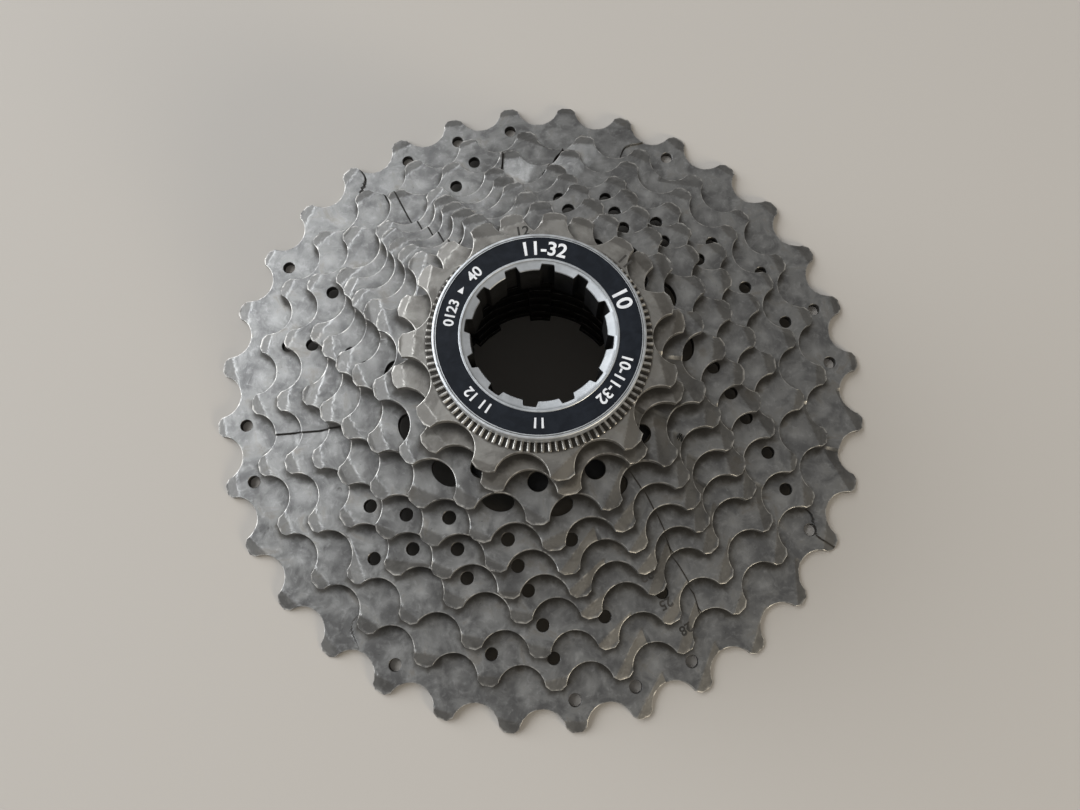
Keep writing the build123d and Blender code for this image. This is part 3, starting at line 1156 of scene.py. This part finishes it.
# %% Streak group
round_scale = 260.0           # how fast the streaks change round the axis, per metre
streaks, group_in, group_out = node_group("streaks", [("Fineness", 9000.0)], ["Streaks"])
place = shader_node(streaks, "TexCoord")
split = shader_node(streaks, "SeparateXYZ")
streaks.links.new(place.outputs["Object"], split.inputs[0])
across, up, _ = split.outputs
reach = distance(streaks, across, up)
combine = shader_node(streaks, "CombineXYZ")
streaks.links.new(maths(streaks, "MULTIPLY", reach, group_in.outputs["Fineness"]), combine.inputs[0])
streaks.links.new(maths(streaks, "MULTIPLY", across, round_scale), combine.inputs[1])
streaks.links.new(maths(streaks, "MULTIPLY", up, round_scale), combine.inputs[2])
noise = shader_node(streaks, "TexNoise", Scale=1.0, Detail=3.0, Roughness=0.6)
streaks.links.new(combine.outputs[0], noise.inputs["Vector"])
streaks.links.new(noise.outputs["Fac"], group_out.inputs["Streaks"])

# %% Edge group
edge_wear_and_glint, group_in, group_out = node_group("edge_wear_and_glint", [("Reach", 0.5)], ["Bright"])
measure = shader_node(edge_wear_and_glint, "Attribute", attribute_name="edge", attribute_type="GEOMETRY")
place = shader_node(edge_wear_and_glint, "TexCoord")
noise = shader_node(edge_wear_and_glint, "TexNoise", Scale=700.0, Detail=4.0, Roughness=0.65)
edge_wear_and_glint.links.new(place.outputs["Object"], noise.inputs["Vector"])
# The bright edges are bare metal from wear together with painted glints.
broken = share_of(edge_wear_and_glint, noise.outputs["Fac"], 0.44, 0.74, measure.outputs["Fac"])
reach = maths(edge_wear_and_glint, "POWER", broken, group_in.outputs["Reach"])
edge_wear_and_glint.links.new(reach, group_out.inputs["Bright"])

# %% [markdown]
# Painted shade, together with grime, darkens a face where the next sprocket up shelters it,
# and just outside it the chain polishes the ring, where a painted highlight lies as well.
# Each plate stores where that sprocket's gaps lie, so the group can work out how
# far a point is under its outline, with the same round seat, flanks and tips as the mesh.

# %% Overhang group
overhang, group_in, group_out = node_group("overhang", [("Dirt reach", 0.0020)], ["Dirt", "Polish and glint"])
place = shader_node(overhang, "TexCoord")
split = shader_node(overhang, "SeparateXYZ")
overhang.links.new(place.outputs["Object"], split.inputs[0])
across, up, _ = split.outputs
polish_and_glint_reach, patchiness = 0.0024, 1.2
told = {
    label: shader_node(overhang, "Attribute", attribute_name=label, attribute_type="GEOMETRY").outputs["Fac"]
    for label in ("next_pitch", "next_step", "next_turn")
}


def over(operation, first, second=None):
    """A maths node of the overhang group."""
    return maths(overhang, operation, first, second)


reach = distance(overhang, across, up)
turned = over("SUBTRACT", over("ARCTAN2", up, across), told["next_turn"])
gaps = over("DIVIDE", turned, told["next_step"])
off = over("MULTIPLY", over("SUBTRACT", gaps, over("ROUND", gaps)), told["next_step"])
seat_centre = over("ADD", told["next_pitch"], seat_radius - gap_depth)
along = over("SUBTRACT", over("MULTIPLY", reach, over("COSINE", off)), seat_centre)
side = over("MULTIPLY", reach, over("SINE", off))
from_centre = distance(overhang, along, side)
in_seat = over("SUBTRACT", seat_radius, from_centre)
flank_foot = (-seat_radius * math.cos(seat_half_angle), seat_radius * math.sin(seat_half_angle))
tip_out = tooth_addendum - seat_radius + gap_depth
flank_rise = (chain_pitch / 2 - tooth_land / 2 - flank_foot[1]) / (tip_out - flank_foot[0])
past_foot = over("SUBTRACT", along, flank_foot[0])
half_mouth = over("ADD", flank_foot[1], over("MULTIPLY", past_foot, flank_rise))
in_mouth = over("SUBTRACT", half_mouth, over("ABSOLUTE", side))
more = over("MAXIMUM", over("SUBTRACT", in_mouth, in_seat), 0.0)
from_seat = over("ADD", in_seat, over("MULTIPLY", more, over("GREATER_THAN", past_foot, 0.0)))
from_tip = over("SUBTRACT", over("SUBTRACT", reach, told["next_pitch"]), tooth_addendum)
clear = over("DIVIDE", over("MAXIMUM", from_seat, from_tip), group_in.outputs["Dirt reach"])
blotched = shader_node(overhang, "TexNoise", Scale=420.0, Detail=4.0, Roughness=0.6)
overhang.links.new(place.outputs["Object"], blotched.inputs["Vector"])
patches = over("MULTIPLY", over("SUBTRACT", blotched.outputs["Fac"], 0.5), patchiness)
# This output is painted shade under the outline of the sprocket above, together with grime gathered there.
sheltered = over("SUBTRACT", 1.0, ramp_between(overhang, over("ADD", clear, patches), 0.0, 1.0))
overhang.links.new(sheltered, group_out.inputs["Dirt"])
# This output is a painted highlight round each seat of the sprocket above, together with the chain's
# polishing there.
rubbed_and_glint = over("SUBTRACT", 1.0, ramp_between(overhang, from_centre, 0.0, polish_and_glint_reach))
overhang.links.new(over("MULTIPLY", rubbed_and_glint, blotched.outputs["Fac"]), group_out.inputs["Polish and glint"])

# %% Metal finish


def use_group(tree, group, **values):
    """A shared group placed in a material with its own values."""
    made = tree.nodes.new("ShaderNodeGroup")
    made.node_tree = group
    for label, value in values.items():
        made.inputs[label.replace("_", " ")].default_value = value
    return made.outputs


def finish_of(name):
    """A new material; gives it, its node tree and its shader."""
    material = bpy.data.materials.new(name)
    material.use_nodes = True
    return material, material.node_tree, material.node_tree.nodes["Principled BSDF"]


def raise_by(tree, shader, height, strength, distance_out):
    """Bumps the shader's normal by a height."""
    raised = shader_node(tree, "Bump", Strength=strength, Distance=distance_out)
    tree.links.new(height, raised.inputs["Height"])
    tree.links.new(raised.outputs["Normal"], shader.inputs["Normal"])


def metal(
    name, dark, mid, bright, edge, rough_low, rough_high, patch=0.005, bump=0.15, stained=0.3, dirt_and_shade=0.92
):
    """Worn metal.

    Three greys lie over each other by patches and specks, under brown stains, fine streaks,
    painted highlights with polishing round the chain's seats, grime with painted shade in
    sheltered places and hollows, and bright edges of bare metal that carry painted glints.
    """
    material, tree, shader = finish_of(name)
    blotch = use_group(tree, mottle, Patch_size=patch, Speck_size=0.0012)
    lines = use_group(tree, streaks)
    rubbed_and_glint = use_group(tree, edge_wear_and_glint)
    cover = use_group(tree, overhang)
    soil = shader_node(tree, "Attribute", attribute_name="soil", attribute_type="GEOMETRY").outputs["Fac"]
    # The darkening mixes grime with painted shade, from the overhang group and from the measure on holes,
    # bores, steps and grooves.
    soiled_and_shaded = maths(tree, "MAXIMUM", maths(tree, "MULTIPLY", cover["Dirt"], dirt_and_shade), soil)
    layers = (
        (share_of(tree, blotch["Specks"], 0.48, 0.8, 0.45), bright),
        (share_of(tree, blotch["Patches"], 0.56, 0.7, stained), stain_colour),
        (share_of(tree, lines["Streaks"], 0.6, 0.8, 0.2), bright),
        (maths(tree, "MULTIPLY", cover["Polish and glint"], 0.7), bright),
        (soiled_and_shaded, grime_and_shade_colour),
        (share_of(tree, blotch["Specks"], 0.33, 0.22, 0.55), grime_and_shade_colour),
        (rubbed_and_glint["Bright"], edge),
    )
    colour = mix_colour(tree, ramp_between(tree, blotch["Patches"], 0.34, 0.62), dark, mid)
    for share, over_it in layers:
        colour = mix_colour(tree, share, colour, over_it)
    tree.links.new(colour, shader.inputs["Base Color"])
    bare = maths(tree, "SUBTRACT", 1.0, maths(tree, "MULTIPLY", soiled_and_shaded, 0.5))
    tree.links.new(bare, shader.inputs["Metallic"])
    wear = shader_node(
        tree, "MapRange", From_Min=0.3, From_Max=0.7, To_Min=rough_low, To_Max=rough_high
    )
    tree.links.new(blotch["Patches"], wear.inputs["Value"])
    dull = maths(tree, "ADD", wear.outputs["Result"], maths(tree, "MULTIPLY", soiled_and_shaded, 0.25))
    tree.links.new(dull, shader.inputs["Roughness"])
    specks = maths(tree, "MULTIPLY", blotch["Specks"], 0.7)
    relief = maths(tree, "ADD", specks, maths(tree, "MULTIPLY", blotch["Grain"], 0.1))
    relief = maths(tree, "ADD", relief, maths(tree, "MULTIPLY", lines["Streaks"], 0.2))
    raise_by(tree, shader, relief, bump, 0.0003)
    return material


stain_colour = (0.16, 0.125, 0.085)
# One colour serves grime, dark specks and painted shade.
grime_and_shade_colour = (0.035, 0.031, 0.026)
steel = metal(
    "worn_steel",
    dark=(0.17, 0.17, 0.17),
    mid=(0.27, 0.27, 0.265),
    bright=(0.46, 0.46, 0.455),
    edge=(0.66, 0.64, 0.60),
    rough_low=0.30,
    rough_high=0.46,
)
bright_steel = metal(
    "bright_steel",
    dark=(0.24, 0.23, 0.215),
    mid=(0.33, 0.32, 0.30),
    bright=(0.46, 0.45, 0.42),
    edge=(0.70, 0.68, 0.64),
    rough_low=0.30,
    rough_high=0.44,
    stained=0.15,
)
rivet_steel = metal(
    "rivet_steel",
    dark=(0.20, 0.20, 0.19),
    mid=(0.32, 0.31, 0.30),
    bright=(0.50, 0.50, 0.48),
    edge=(0.70, 0.70, 0.68),
    rough_low=0.30,
    rough_high=0.50,
)
ring_steel = metal(
    "ring_steel",
    dark=(0.44, 0.46, 0.48),
    mid=(0.50, 0.52, 0.54),
    bright=(0.56, 0.58, 0.60),
    edge=(0.64, 0.66, 0.68),
    rough_low=0.42,
    rough_high=0.54,
    bump=0.08,
    stained=0.0,
    dirt_and_shade=0.0,
)


# %% [markdown]
# The resin rings, the lock ring's painted band and the marks are not metal. They share one
# plain recipe, two close colours with specks in the gloss, and differ in shade and shine.

# %% Resin, band and print finishes


def coated(name, colour, second, rough_low, rough_high, specular=0.5):
    """A painted or moulded surface: two close colours in patches, with specks in its gloss."""
    material, tree, shader = finish_of(name)
    shader.inputs["Specular IOR Level"].default_value = specular
    blotch = use_group(tree, mottle, Patch_size=0.002, Speck_size=0.0005)
    patches = ramp_between(tree, blotch["Patches"], 0.35, 0.7)
    tree.links.new(mix_colour(tree, patches, colour, second), shader.inputs["Base Color"])
    gloss = shader_node(tree, "MapRange", To_Min=rough_low, To_Max=rough_high)
    tree.links.new(blotch["Specks"], gloss.inputs["Value"])
    tree.links.new(gloss.outputs["Result"], shader.inputs["Roughness"])
    raise_by(tree, shader, blotch["Grain"], 0.1, 0.0001)
    return material


resin = coated("black_resin", (0.006, 0.006, 0.006), (0.012, 0.012, 0.013), 0.5, 0.75, specular=0.25)
band_paint = coated("band_paint", (0.008, 0.010, 0.014), (0.013, 0.016, 0.022), 0.3, 0.45, specular=0.15)
white_print = coated("white_print", (0.75, 0.76, 0.78), (0.6, 0.61, 0.64), 0.4, 0.6)
stamp_dark = coated("stamp_dark", (0.02, 0.018, 0.015), (0.05, 0.045, 0.04), 0.5, 0.7)

# %% Who wears what
small_gap = 0.001 * mm
wall_faces = 3                # the last rows of the lock ring, its socket's wall
for teeth, piece in sprockets.items():
    piece.data.materials.append(bright_steel if teeth in collar_radii else steel)
for piece in spacers:
    piece.data.materials.append(resin)
for piece in rivets:
    piece.data.materials.append(rivet_steel)
washer.data.materials.append(bright_steel)
# The third finish of the lock ring, the black resin, is painted shade on the steel wall of its socket.
for material in (ring_steel, band_paint, resin):
    lock_ring.data.materials.append(material)
starts, ends = radii[:, 0], np.roll(radii[:, 0], -1)
in_band = (starts < band_outer + small_gap) & (ends > band_inner + 0.3 * mm)
in_band &= heights[:, 0] > flange_base
in_shade = np.arange(len(rows)) >= len(rows) - wall_faces    # painted shade: the steel wall of the socket wears the black resin
finish = in_band.astype(np.int32) + 2 * in_shade.astype(np.int32)
lock_ring.data.polygons.foreach_set("material_index", np.repeat(finish, ring_columns))
ring_marks.data.materials.append(white_print)
for piece in stamps:
    piece.data.materials.append(stamp_dark)

# %% [markdown]
# ## Floor, light and camera
# The cassette lies on a plain pale floor. One large soft lamp stands high on the left, so
# that its reflection falls across the faces on that side, and a small warm one in front on
# the right lights the faces that lean that way.

# %% Floor
floor_half = 1.5
floor_mesh = bpy.data.meshes.new("floor")
corners = [(-1, -1), (1, -1), (1, 1), (-1, 1)]
floor_mesh.from_pydata([(x * floor_half, y * floor_half, 0.0) for x, y in corners], [], [(0, 1, 2, 3)])
floor = add_object("floor", floor_mesh)
floor_finish, _, floor_shader = finish_of("floor_pale")
floor_shader.inputs["Base Color"].default_value = (0.44, 0.415, 0.385, 1.0)
floor_shader.inputs["Roughness"].default_value = 0.95
floor_shader.inputs["Specular IOR Level"].default_value = 0.1
floor_mesh.materials.append(floor_finish)

# %% Light


def soft_lamp(name, place, aim, size, power, colour):
    """A square area lamp at a place, facing a point."""
    lamp = bpy.data.lights.new(name, "AREA")
    lamp.shape, lamp.size, lamp.energy, lamp.color = "SQUARE", size, power, colour
    holder = add_object(name, lamp)
    direction = np.array(aim) - np.array(place)
    holder.location = place
    holder.rotation_euler = (
        math.atan2(math.hypot(direction[0], direction[1]), -direction[2]),
        0.0,
        math.atan2(direction[1], direction[0]) - math.pi / 2,
    )


soft_lamp("key", (-1.0, 0.44, 0.66), (0, 0, 0), 1.4, 29.0, (0.94, 0.97, 1.0))
soft_lamp("right", (0.62, -0.62, 0.36), (0, 0, 0.02), 0.25, 3.6, (1.0, 0.88, 0.68))
world = bpy.data.worlds.new("studio")
world.use_nodes = True
sky = world.node_tree.nodes["Background"]
sky.inputs["Color"].default_value = (1.0, 0.98, 0.95, 1.0)
sky.inputs["Strength"].default_value = 0.36
bpy.context.scene.world = world
bpy.context.scene.view_settings.view_transform = "Standard"

# %% Camera
camera_data = bpy.data.cameras.new("camera")
camera_data.sensor_width = 36.0
camera_data.lens = 29.155
camera_data.clip_start = 0.01
camera = add_object("camera", camera_data)
camera.location = (0.00086, -0.04349, 0.174)
camera.rotation_euler = (0.23428, 0.00503, 0.00068)
bpy.context.scene.camera = camera
